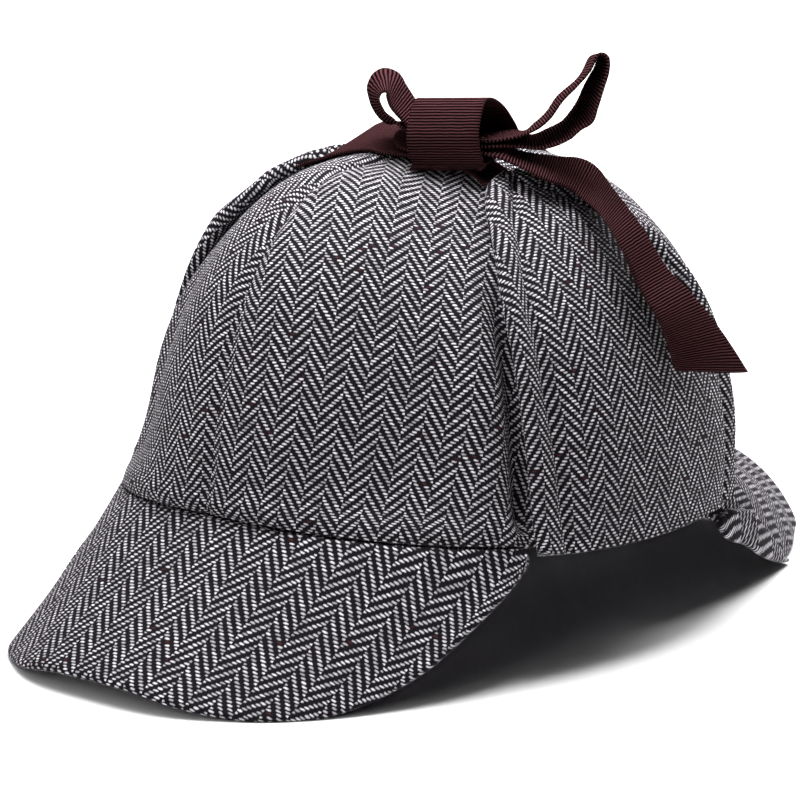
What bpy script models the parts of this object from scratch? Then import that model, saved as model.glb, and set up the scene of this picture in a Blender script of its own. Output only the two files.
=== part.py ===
"""A deerstalker hat: four crown gores, two arched peaks, two ear flaps folded up and a ribbon bow on top.

Sizes are in millimetres until a mesh is made. The hat's front is at -Y, the wearer's left at +X, and
it rests on z = 0. A turn is an angle round the head, from 0 at the front through 90 at the wearer's
left to 180 at the back. A climb is a share of the way from the rim, 0, to the top of the crown, 1.
"""

import math
from collections import namedtuple

import bmesh
import bpy
from mathutils import Vector

MM = 0.001
# Points closer than this are one point where a closed band's ends meet.
WELD = 0.001
# The short step, in turn and in climb, from which a surface's slope is read.
SLOPE_STEP = 0.002

# The rim, where crown and peaks are sewn together: an oval, squarer than an ellipse, arched up in
# front and behind.
RIM_HALF_WIDTH = 88.9
RIM_FRONT_REACH = 97.7
RIM_REAR_REACH = 100.3
RIM_POWER = 2.27
RIM_HEIGHT = 40.9
RIM_FRONT_LIFT = 7.4
RIM_REAR_LIFT = 7.6
# In front the rim is drawn in by this share, halfway between its middle and its sides.
RIM_FRONT_PINCH = 0.018

# The crown over it. Each quarter's curve from rim to top is a superellipse.
CROWN_TOP = 149.8
CROWN_TOP_SHIFT = -2.6
CROWN_LAST_CLIMB = 0.988
Curve = namedtuple("Curve", "out_power up_power")
FRONT_CURVE = Curve(3.37, 1.58)
SIDE_CURVE = Curve(2.04, 2.29)
REAR_CURVE = Curve(2.86, 2.93)
DIAGONAL_CURVE = Curve(-0.44, 0.155)
FLARE = 0.115
FLARE_POWER = 10
SEAM_GAP = 0.25

# The dent that the knot presses into the top of the crown.
DENT_X = 12
DENT_Y = -18
DENT_DEPTH = 2.4
DENT_RADIUS = 11

CROWN_WALL = 1.8
PEAK_WALL = 3.0
FLAP_WALL = 2.0
RIBBON_WALL = 1.0
RIBBON_WIDTH = 25.0

# Half of each peak's free edge, from its middle to its end, with the turn of the seam opposite.
PeakRow = namedtuple("PeakRow", "seam_turn x y z")
FRONT_PEAK = (
    PeakRow(0, 0, -148, 7.5),
    PeakRow(8.8, 17, -147.5, 7),
    PeakRow(18.3, 32, -144.5, 4.5),
    PeakRow(28.3, 46, -137, 2),
    PeakRow(37.1, 57, -128.5, 1.3),
    PeakRow(45.5, 66, -116.5, 1.3),
    PeakRow(52.5, 72.5, -103.5, 4.2),
    PeakRow(58.8, 77.5, -90, 9.5),
    PeakRow(64, 81.5, -75, 18.5),
    PeakRow(66, 84, -58, 29),
    PeakRow(67, 84.5, -46, 37.5),
)
REAR_PEAK = (
    PeakRow(180, 0, 163, 8),
    PeakRow(171.8, 16, 162, 7.5),
    PeakRow(163.7, 31, 159, 5.5),
    PeakRow(156.9, 39, 148.5, 1.8),
    PeakRow(151, 47, 136, 0.4),
    PeakRow(146.2, 53, 122.5, 0.4),
    PeakRow(141.5, 58.5, 108, 4.5),
    PeakRow(137, 63.5, 94, 10),
    PeakRow(133, 67.5, 81, 16.5),
    PeakRow(130, 72.2, 65, 22.5),
    PeakRow(128.5, 74, 56.5, 31.5),
)
FRONT_PEAK_BULGE = -1.5
REAR_PEAK_BULGE = 7.0
# A peak's sewn edge is tucked under the crown's lower edge, clear of it by the seam's gap.
PEAK_SEAM_GAP = 0.45
PEAK_TUCK = 2.4
PEAK_STEPS = 7

# An ear flap's outer face stands off the crown by rest in its middle and by edge at its edges.
FlapRow = namedtuple("FlapRow", "climb front_turn rear_turn rest edge")
EAR_FLAP = (
    FlapRow(-0.013, 69, 126.5, 2.9, 2.9),
    FlapRow(-0.003, 68.4, 127, 2.9, 2.9),
    FlapRow(0.06, 68.4, 127, 2.9, 2.8),
    FlapRow(0.14, 67.9, 127, 2.9, 2.7),
    FlapRow(0.226, 67.4, 127.5, 3, 2.9),
    FlapRow(0.336, 66.9, 127, 3.2, 3.8),
    FlapRow(0.413, 66.7, 126, 3.2, 5),
    FlapRow(0.497, 67.8, 123.5, 3.3, 5.6),
    FlapRow(0.591, 69.9, 117, 4, 5.8),
    FlapRow(0.644, 72, 111.5, 4.6, 5.6),
    FlapRow(0.69, 75.2, 106, 4.8, 5.2),
    FlapRow(0.728, 80.6, 101.5, 4.8, 4.8),
    FlapRow(0.75, 88, 98.5, 4.6, 4.6),
)

# Ribbon sections: the middle of each, and the way that its width points, in degrees.
Section = namedtuple("Section", "x y z heading tilt")
LEAD_LEFT = (
    Section(45, -2, 138.2, 90, 0),
    Section(41, -2, 140.5, 90, 0),
    Section(37.5, -2, 142.3, 91, 0),
    Section(34.2, -2.2, 143.8, 94, 0),
    Section(31, -2.7, 145.8, 99, 1),
    Section(28, -3.2, 147.2, 103, 3),
    Section(24, -3.8, 147.9, 104, 5),
)
LEAD_RIGHT = (
    Section(-45.5, -2, 137.9, 90, 0),
    Section(-43, -2, 139.4, 90, 0),
    Section(-40, -2.1, 141, 90, 0),
    Section(-36, -2.3, 142.8, 91, 0),
    Section(-32.5, -2.6, 144.8, 94, 4),
    Section(-29, -2.9, 148, 96, 13),
    Section(-24, -3, 150.3, 97, 16),
    Section(-17, -3.5, 152, 98, 15),
    Section(-8, -4.4, 152.2, 98, 9),
    Section(2, -5.8, 151.2, 101, 7),
    Section(9.5, -6.8, 150.6, 103.7, 6),
    Section(14.1, -5.7, 150.9, 103.7, 6),
)
LOOP_LEFT = (
    Section(26.1, -2.8, 155, 103.7, 6),
    Section(30.5, -1.7, 155.3, 104, 5),
    Section(34.4, 1.2, 155.4, 112, 4),
    Section(36.7, 6.8, 155, 125, 3),
    Section(38.9, 12.2, 154.4, 135, 3),
    Section(44.6, 17.5, 157.6, 136, 3),
    Section(47.2, 19.9, 160.9, 137, 4),
    Section(49.4, 21.9, 163.9, 140, 7),
    Section(50.6, 22.9, 168, 140, 5),
    Section(51.8, 23.9, 172.2, 140, 0),
    Section(53.4, 25, 177.2, 139, -5),
    Section(53.6, 25.2, 181, 137, -7),
    Section(51.4, 23.8, 181.2, 136, -10),
    Section(49.4, 22.1, 176.2, 135, -9),
    Section(47.2, 20.1, 172.6, 132, -6),
    Section(43.6, 16.6, 167.8, 133, -5),
    Section(40.9, 14.2, 162.6, 133, -5),
    Section(38.2, 11.4, 159.2, 133, -5),
    Section(37, 6.3, 157.3, 125, -4),
    Section(34.3, 1.1, 157.1, 112, 3),
    Section(30.5, -1.7, 157, 104, 5),
    Section(26.1, -2.8, 156.8, 103.7, 6),
)
LOOP_RIGHT = (
    Section(14.1, -5.7, 154.2, 103.7, 6),
    Section(9, -6.6, 154.4, 108, 5),
    Section(5, -8, 156.7, 122, 0),
    Section(1.6, -10.7, 158.5, 132, -5),
    Section(-0.8, -12.9, 159.6, 135, -12),
    Section(-2.6, -14.5, 161.3, 136, -12),
    Section(-3.9, -15.7, 163.9, 138, -10),
    Section(-4.6, -16.4, 166.6, 139, -7),
    Section(-4.7, -16.4, 169.3, 141, -2),
    Section(-3.6, -15.5, 171.7, 139, 5),
    Section(-1.9, -13.9, 172.4, 134, 9),
    Section(-0.2, -12.4, 170.6, 124, 11),
    Section(1.2, -11.1, 167, 120, 9),
    Section(4, -9, 162.4, 117, 6),
    Section(8, -7, 157.8, 108, 6),
    Section(14.1, -5.7, 155.8, 103.7, 6),
)
TAIL_LEFT = (
    Section(26.1, -2.8, 153.3, 103.7, 6),
    Section(31, -1.8, 153.6, 105, 6),
    Section(35.8, -1.2, 153.1, 118, 8),
    Section(39.2, 0.6, 150.9, 127, 3),
    Section(45.4, 8.6, 147.3, 125, 7),
    Section(48.2, 18, 144.7, 121, 12),
    Section(52, 21.8, 141.6, 116, 12),
    Section(59.6, 22.2, 135.8, 114, 9),
    Section(69.3, 22.4, 126.3, 107, 6),
    Section(77.7, 22.8, 115.3, 103, 7),
    Section(82.8, 26.5, 106.4, 100, 8),
    Section(86.1, 31, 96.9, 91, 9),
    Section(88.4, 34.3, 88.8, 82, 8),
    Section(90.6, 37.6, 81.4, 76, 6),
)
TAIL_LEFT_SLANT = 0.07
TAIL_RIGHT = (
    Section(14.1, -5.7, 152.5, 103.7, 6),
    Section(9, -6.8, 152.3, 100, 6),
    Section(4.2, -4.6, 153.1, 82, 5),
    Section(0.8, 3.5, 154.9, 54, 2),
    Section(2, 14, 155.6, 27, 0),
    Section(-1.5, 26.5, 152, 16, 0),
    Section(-5, 39, 148.6, 11, 0),
    Section(-7.5, 51, 145.3, 9, -1),
    Section(-9.5, 62, 140.8, 8, -1),
    Section(-11, 72.3, 134.6, 7, -1),
    Section(-12.2, 81.6, 126, 7, -1),
    Section(-13.2, 88.5, 116.4, 7, -1),
    Section(-14, 93.6, 105.4, 7, -1),
)
# A ribbon is drawn in where the knot grips it.
GATHERED_WIDTH = 17.0
GATHER_START = 14.5
GATHER_END = 24.0

# The band round the bow's middle, a closed loop whose hole runs along its axis: its outline's depth
# towards the back of the hat, and height, from the band's centre.
KNOT_CENTRE = Vector((21.9, -3.8, 157.6))
KNOT_AXIS_HEADING = 13.7
KNOT_AXIS_RISE = 0.075
BandRow = namedtuple("BandRow", "depth height")
KNOT_BAND = (
    BandRow(-14.3, -8.8),
    BandRow(-14.7, -4.5),
    BandRow(-14.5, 0.5),
    BandRow(-13.6, 5.4),
    BandRow(-11.4, 9.6),
    BandRow(-7.9, 11.2),
    BandRow(-2.7, 10.1),
    BandRow(2.8, 7.3),
    BandRow(7.5, 3.7),
    BandRow(12.2, -0.8),
    BandRow(13.9, -3.4),
    BandRow(12.6, -5.8),
    BandRow(7.5, -6.8),
    BandRow(2, -7.3),
    BandRow(-3.5, -8),
    BandRow(-8, -9),
    BandRow(-12.4, -10.2),
)

# This puts the origin under the middle of the whole hat.
HAT_SHIFT = Vector((-1, -7.5, 0))

# The block of floor that flattens the peaks where they rest.
FLOOR_WIDTH = 400
FLOOR_LENGTH = 500
FLOOR_DEPTH = 20

CLOTH_ROUGHNESS = 0.9
RIBBON_ROUGHNESS = 0.6

CLOTH_COLOUR = (0.115, 0.105, 0.119, 1)
RIBBON_COLOUR = (0.028, 0.012, 0.012, 1)


def between(start, end, share):
    return start + (end - start) * share


def signed_power(value, power):
    return math.copysign(abs(value) ** power, value)


def rim_point(turn):
    front = math.cos(turn)
    if front > 0:
        reach, lift, pinch = RIM_FRONT_REACH, RIM_FRONT_LIFT, RIM_FRONT_PINCH
    else:
        reach, lift, pinch = RIM_REAR_REACH, RIM_REAR_LIFT, 0
    size = 1 - pinch * math.sin(2 * turn) ** 4
    return Vector(
        (
            size * RIM_HALF_WIDTH * signed_power(math.sin(turn), 2 / RIM_POWER),
            -size * reach * signed_power(front, 2 / RIM_POWER),
            RIM_HEIGHT + lift * front**2,
        )
    )


def crown_point(turn, climb):
    """A point of the crown's outer face. A climb below 0 carries its slope on below the rim."""
    rim = rim_point(turn)
    if climb < 0:
        return 2 * rim - crown_point(turn, -climb)
    mix = math.cos(turn) ** 2
    diagonal = math.sin(2 * turn) ** 2
    in_front = math.cos(turn) > 0
    quarter = FRONT_CURVE if in_front else REAR_CURVE
    out_power, up_power = (
        between(side, end, mix) + extra * diagonal
        for side, end, extra in zip(SIDE_CURVE, quarter, DIAGONAL_CURVE)
    )
    angle = math.radians(90) * climb
    rise = math.sin(angle) ** (2 / up_power)
    out = math.cos(angle) ** (2 / out_power)
    if in_front:
        out *= 1 + FLARE * diagonal * ((1 - rise) ** FLARE_POWER - 1)
    point = Vector(
        (
            rim.x * out,
            rim.y * out + CROWN_TOP_SHIFT * (1 - out),
            between(rim.z, CROWN_TOP, rise),
        )
    )
    from_dent = math.hypot(point.x - DENT_X, point.y - DENT_Y) / DENT_RADIUS
    point.z -= DENT_DEPTH * math.exp(-(from_dent**2) / 2)
    return point


def crown_normal(turn, climb):
    """The way out of the crown, from two short steps along it."""
    climb = max(climb, 0)
    along = crown_point(turn + SLOPE_STEP, climb) - crown_point(turn - SLOPE_STEP, climb)
    up = crown_point(turn, climb + SLOPE_STEP) - crown_point(turn, max(climb - SLOPE_STEP, 0))
    return along.cross(up).normalized()


def smooth_row(rows, share):
    """Reads a table at a share of its length, on a smooth curve through its rows."""
    place = share * (len(rows) - 1)
    first = min(int(place), len(rows) - 2)
    t = place - first
    before, start, end, after = (
        rows[min(max(first + step, 0), len(rows) - 1)] for step in (-1, 0, 1, 2)
    )
    values = (
        b + t / 2 * (c - a + t * (2 * a - 5 * b + 4 * c - d + t * (3 * (b - c) + d - a)))
        for a, b, c, d in zip(before, start, end, after)
    )
    return type(start)(*values)


def gore_point(first_turn, across, up):
    """A quarter of the crown, trimmed by half a seam's gap at both of its straight edges."""
    climb = CROWN_LAST_CLIMB * up
    turn = math.radians(first_turn + 90 * across)
    radius = max(crown_point(turn, climb).to_2d().length, 1.0)
    trim = math.asin(SEAM_GAP / radius)
    turn += trim * (1 - 2 * across)
    return crown_point(turn, climb)


def peak_point(rows, bulge, across, out):
    """A peak's upper face: across runs from one end to the other, out from its tucked edge."""
    side = 2 * across - 1
    row = smooth_row(rows, abs(side))
    turn = math.radians(row.seam_turn)
    seam = rim_point(turn)
    seam.z -= PEAK_SEAM_GAP
    step = out * PEAK_STEPS
    if step < 1:
        point = seam - crown_normal(turn, 0) * PEAK_TUCK * (1 - step)
    else:
        share = (step - 1) / (PEAK_STEPS - 1)
        point = seam.lerp(Vector((row.x, row.y, row.z)), share)
        outward = Vector((math.sin(turn), -math.cos(turn), 1)).normalized()
        point += outward * bulge * 4 * share * (1 - share) * (1 - abs(side) ** 4)
    point.x *= math.copysign(1, side)
    return point


def flap_point(side, across, up):
    """An ear flap's outer face, on the wearer's left for side 1 and on the right for side -1."""
    row = smooth_row(EAR_FLAP, up)
    turn = math.radians(between(row.front_turn, row.rear_turn, across))
    stand_off = between(row.rest, row.edge, abs(2 * across - 1) ** 3)
    point = crown_point(turn, row.climb) + crown_normal(turn, row.climb) * stand_off
    return Vector((point.x * side, point.y, point.z))


def ribbon_point(sections, slant, across, along):
    """A ribbon through its sections, whose last end is cut at a slant."""
    place = along - slant * (1 - across) * along**6
    row = smooth_row(sections, place)
    heading, tilt = math.radians(row.heading), math.radians(row.tilt)
    width_way = Vector(
        (
            math.cos(heading) * math.cos(tilt),
            math.sin(heading) * math.cos(tilt),
            math.sin(tilt),
        )
    )
    middle = Vector((row.x, row.y, row.z))
    return middle + width_way * ribbon_width(middle) * (across - 0.5)


def ribbon_width(middle):
    from_knot = abs((middle - KNOT_CENTRE).dot(knot_axis()))
    share = (from_knot - GATHER_START) / (GATHER_END - GATHER_START)
    return between(GATHERED_WIDTH, RIBBON_WIDTH, min(max(share, 0), 1))


def knot_axis():
    heading = math.radians(KNOT_AXIS_HEADING)
    return Vector((math.cos(heading), math.sin(heading), KNOT_AXIS_RISE)).normalized()


def knot_point(across, around):
    heading = math.radians(KNOT_AXIS_HEADING)
    back = Vector((-math.sin(heading), math.cos(heading), 0))
    rows = KNOT_BAND[-1:] + KNOT_BAND + KNOT_BAND[:2]
    row = smooth_row(rows, (1 + around * len(KNOT_BAND)) / (len(rows) - 1))
    width = RIBBON_WIDTH * (across - 0.5)
    return KNOT_CENTRE + knot_axis() * width + back * row.depth + Vector((0, 0, row.height))


def new_material(name, colour, roughness):
    material = bpy.data.materials.new(name)
    material.diffuse_color = colour
    material.use_nodes = True
    shader = material.node_tree.nodes["Principled BSDF"]
    shader.inputs["Base Color"].default_value = colour
    shader.inputs["Roughness"].default_value = roughness
    shader.inputs["Metallic"].default_value = 0
    return material


def new_sheet(name, point_at, columns, rows, wall, offset, material, closed=False):
    """A grid bent to point_at(u, v), given its wall by Solidify: inwards for offset -1."""
    mesh = bpy.data.meshes.new(name)
    grid = bmesh.new()
    bmesh.ops.create_grid(grid, x_segments=columns, y_segments=rows, size=0.5)
    for vert in grid.verts:
        vert.co = (point_at(vert.co.x + 0.5, vert.co.y + 0.5) + HAT_SHIFT) * MM
    if closed:
        bmesh.ops.remove_doubles(grid, verts=grid.verts, dist=WELD * MM)
    face_outwards(grid)
    grid.to_mesh(mesh)
    grid.free()
    mesh.materials.append(material)
    mesh.shade_smooth()
    sheet = bpy.data.objects.new(name, mesh)
    hat.objects.link(sheet)
    solidify = sheet.modifiers.new("wall", "SOLIDIFY")
    solidify.thickness = wall * MM
    solidify.offset = offset
    return sheet


def face_outwards(grid):
    """Turns the sheet so that its faces point away from the middle of the head."""
    head = (HAT_SHIFT + Vector((0, 0, RIM_HEIGHT))) * MM
    grid.normal_update()
    facing = sum(face.normal.dot(face.calc_center_median() - head) for face in grid.faces)
    if facing < 0:
        bmesh.ops.reverse_faces(grid, faces=grid.faces)


def flatten_on_floor(sheet):
    """Cuts away what would reach below the floor, which leaves flat places to rest on."""
    flatten = sheet.modifiers.new("floor", "BOOLEAN")
    flatten.operation = "DIFFERENCE"
    flatten.object = floor_cutter
    flatten.solver = "EXACT"


def new_floor_cutter():
    size = Vector((FLOOR_WIDTH, FLOOR_LENGTH, FLOOR_DEPTH)) * MM
    bpy.ops.mesh.primitive_cube_add(size=1, location=(0, 0, -size.z / 2), scale=size)
    cutter = bpy.context.object
    cutter.name = "floor_cutter"
    cutter.hide_render = True
    cutter.display_type = "WIRE"
    for collection in cutter.users_collection:
        collection.objects.unlink(cutter)
    cutters.objects.link(cutter)
    return cutter


for leftover in list(bpy.data.objects):
    bpy.data.objects.remove(leftover)

hat = bpy.data.collections.new("deerstalker_hat")
cutters = bpy.data.collections.new("cutters")
bpy.context.scene.collection.children.link(hat)
bpy.context.scene.collection.children.link(cutters)
floor_cutter = new_floor_cutter()

GORES = (
    ("crown_front_left", 0),
    ("crown_rear_left", 90),
    ("crown_rear_right", 180),
    ("crown_front_right", 270),
)
for gore_name, gore_turn in GORES:
    new_sheet(
        gore_name,
        lambda across, up, first=gore_turn: gore_point(first, across, up),
        columns=14,
        rows=18,
        wall=CROWN_WALL,
        offset=-1,
        material=new_material(gore_name, CLOTH_COLOUR, CLOTH_ROUGHNESS),
    )

PEAKS = (
    ("front_peak", FRONT_PEAK, FRONT_PEAK_BULGE),
    ("rear_peak", REAR_PEAK, REAR_PEAK_BULGE),
)
for peak_name, peak_rows, peak_bulge in PEAKS:
    peak = new_sheet(
        peak_name,
        lambda across, out, rows=peak_rows, bulge=peak_bulge: peak_point(rows, bulge, across, out),
        columns=40,
        rows=PEAK_STEPS,
        wall=PEAK_WALL,
        offset=-1,
        material=new_material(peak_name, CLOTH_COLOUR, CLOTH_ROUGHNESS),
    )
    flatten_on_floor(peak)

for flap_name, flap_side in (("ear_flap_left", 1), ("ear_flap_right", -1)):
    new_sheet(
        flap_name,
        lambda across, up, side=flap_side: flap_point(side, across, up),
        columns=12,
        rows=16,
        wall=FLAP_WALL,
        offset=-1,
        material=new_material(flap_name, CLOTH_COLOUR, CLOTH_ROUGHNESS),
    )

RIBBONS = (
    ("ribbon_lead_left", LEAD_LEFT, 0, 10),
    ("ribbon_lead_right", LEAD_RIGHT, 0, 18),
    ("ribbon_loop_left", LOOP_LEFT, 0, 44),
    ("ribbon_loop_right", LOOP_RIGHT, 0, 36),
    ("ribbon_tail_left", TAIL_LEFT, TAIL_LEFT_SLANT, 36),
    ("ribbon_tail_right", TAIL_RIGHT, 0, 32),
)
for ribbon_name, ribbon_sections, ribbon_slant, ribbon_steps in RIBBONS:
    new_sheet(
        ribbon_name,
        lambda across, along, rows=ribbon_sections, slant=ribbon_slant: ribbon_point(
            rows, slant, across, along
        ),
        columns=2,
        rows=ribbon_steps,
        wall=RIBBON_WALL,
        offset=0,
        material=new_material(ribbon_name, RIBBON_COLOUR, RIBBON_ROUGHNESS),
    )
new_sheet(
    "ribbon_knot",
    knot_point,
    columns=2,
    rows=40,
    wall=RIBBON_WALL,
    offset=0,
    material=new_material("ribbon_knot", RIBBON_COLOUR, RIBBON_ROUGHNESS),
    closed=True,
)
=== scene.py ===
"""A deerstalker hat of black and white herringbone cloth, tied on top with a dark brown ribbed ribbon."""

import math
from collections import namedtuple

import bmesh
import bpy
import numpy as np
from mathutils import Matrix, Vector, noise


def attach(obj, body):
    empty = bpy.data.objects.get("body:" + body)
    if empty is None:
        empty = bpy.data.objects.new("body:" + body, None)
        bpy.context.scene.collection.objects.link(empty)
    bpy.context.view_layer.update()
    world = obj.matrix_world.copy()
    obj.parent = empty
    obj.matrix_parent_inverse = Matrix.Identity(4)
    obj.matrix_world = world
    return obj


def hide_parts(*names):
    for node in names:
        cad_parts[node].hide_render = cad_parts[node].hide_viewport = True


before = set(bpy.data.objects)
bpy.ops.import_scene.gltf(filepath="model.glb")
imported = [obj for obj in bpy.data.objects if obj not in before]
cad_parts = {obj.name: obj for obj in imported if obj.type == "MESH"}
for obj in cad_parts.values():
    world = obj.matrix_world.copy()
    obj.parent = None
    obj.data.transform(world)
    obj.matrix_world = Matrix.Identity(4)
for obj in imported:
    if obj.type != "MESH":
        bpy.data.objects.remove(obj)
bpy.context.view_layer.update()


# ---------------------------------------------------------------------------------------------------
# Camera. It looks at the hat's front from the wearer's left, a little from above, through a long lens.
# ---------------------------------------------------------------------------------------------------
CAMERA_AZIMUTH = math.radians(42.243)
CAMERA_ELEVATION = math.radians(12.279)
CAMERA_DISTANCE = 1.4
CAMERA_TARGET = Vector((-0.00956, -0.0075, 0.0669))
CAMERA_LENS = 196.06

towards_camera = Vector(
    (
        math.sin(CAMERA_AZIMUTH) * math.cos(CAMERA_ELEVATION),
        -math.cos(CAMERA_AZIMUTH) * math.cos(CAMERA_ELEVATION),
        math.sin(CAMERA_ELEVATION),
    )
)
camera = bpy.data.objects.new("camera", bpy.data.cameras.new("camera"))
camera.data.lens = CAMERA_LENS
camera.data.clip_end = 20
camera.location = CAMERA_TARGET + towards_camera * CAMERA_DISTANCE
camera.rotation_euler = towards_camera.to_track_quat("Z", "Y").to_euler()
bpy.context.scene.collection.objects.link(camera)
bpy.context.scene.camera = camera


# ---------------------------------------------------------------------------------------------------
# Cloth. Wool herringbone: a 2/2 twill of black warp and white weft whose slant turns every eight ends.
# White picks show as short dashes over two ends, rounded and a little hairy, with black between them.
# ---------------------------------------------------------------------------------------------------
MM = 0.001
END_PITCH = 0.78
PICK_PITCH = 0.91
ENDS_IN_A_BAND = 8
TWILL_REPEAT = 4
# How far the threads stray from straight, in millimetres, and over what length.
CLOTH_WANDER = 1.0
CLOTH_WANDER_SIZE = 22
YARN_WANDER = 0.5
YARN_WANDER_SIZE = 2.2
HAIR_WANDER = 0.28
HAIR_SIZE = 0.45
YARN_RELIEF = 0.25
# A white dash's length in ends, its width in picks, how far its white fades into painted shade towards its
# soft outline, and how dull it can get.
DASH_LENGTH = 2.6
DASH_WIDTH = 0.84
DASH_SOFTNESS_AND_SHADE = 0.95
DASH_DULLNESS = 0.6
# The share of dashes that aren't flecks of red wool.
NEP_RARITY = 0.994
WHITE_WEFT = "#f8f2fa"
BLACK_WARP = "#131015"
RED_NEP = "#6a3234"
CLOTH_SHEEN = "#b9aebf"


def colour(hex_code):
    """A colour's sRGB hex code as the linear colour that a shader takes."""
    channels = (int(hex_code[at : at + 2], 16) / 255 for at in (1, 3, 5))
    linear = (c / 12.92 if c <= 0.04045 else ((c + 0.055) / 1.055) ** 2.4 for c in channels)
    return (*linear, 1)


def add_node(tree, kind, links=None, **settings):
    """Adds a node and returns its outputs. links gives each input a value or the output that feeds it."""
    node = tree.nodes.new(kind)
    for setting, value in settings.items():
        setattr(node, setting, value)
    for socket, source in (links or {}).items():
        if isinstance(source, bpy.types.NodeSocket):
            tree.links.new(source, node.inputs[socket])
        else:
            node.inputs[socket].default_value = source
    return node.outputs


def new_material(name):
    material = bpy.data.materials.new(name)
    material.use_nodes = True
    return material, material.node_tree, material.node_tree.nodes["Principled BSDF"]


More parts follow.
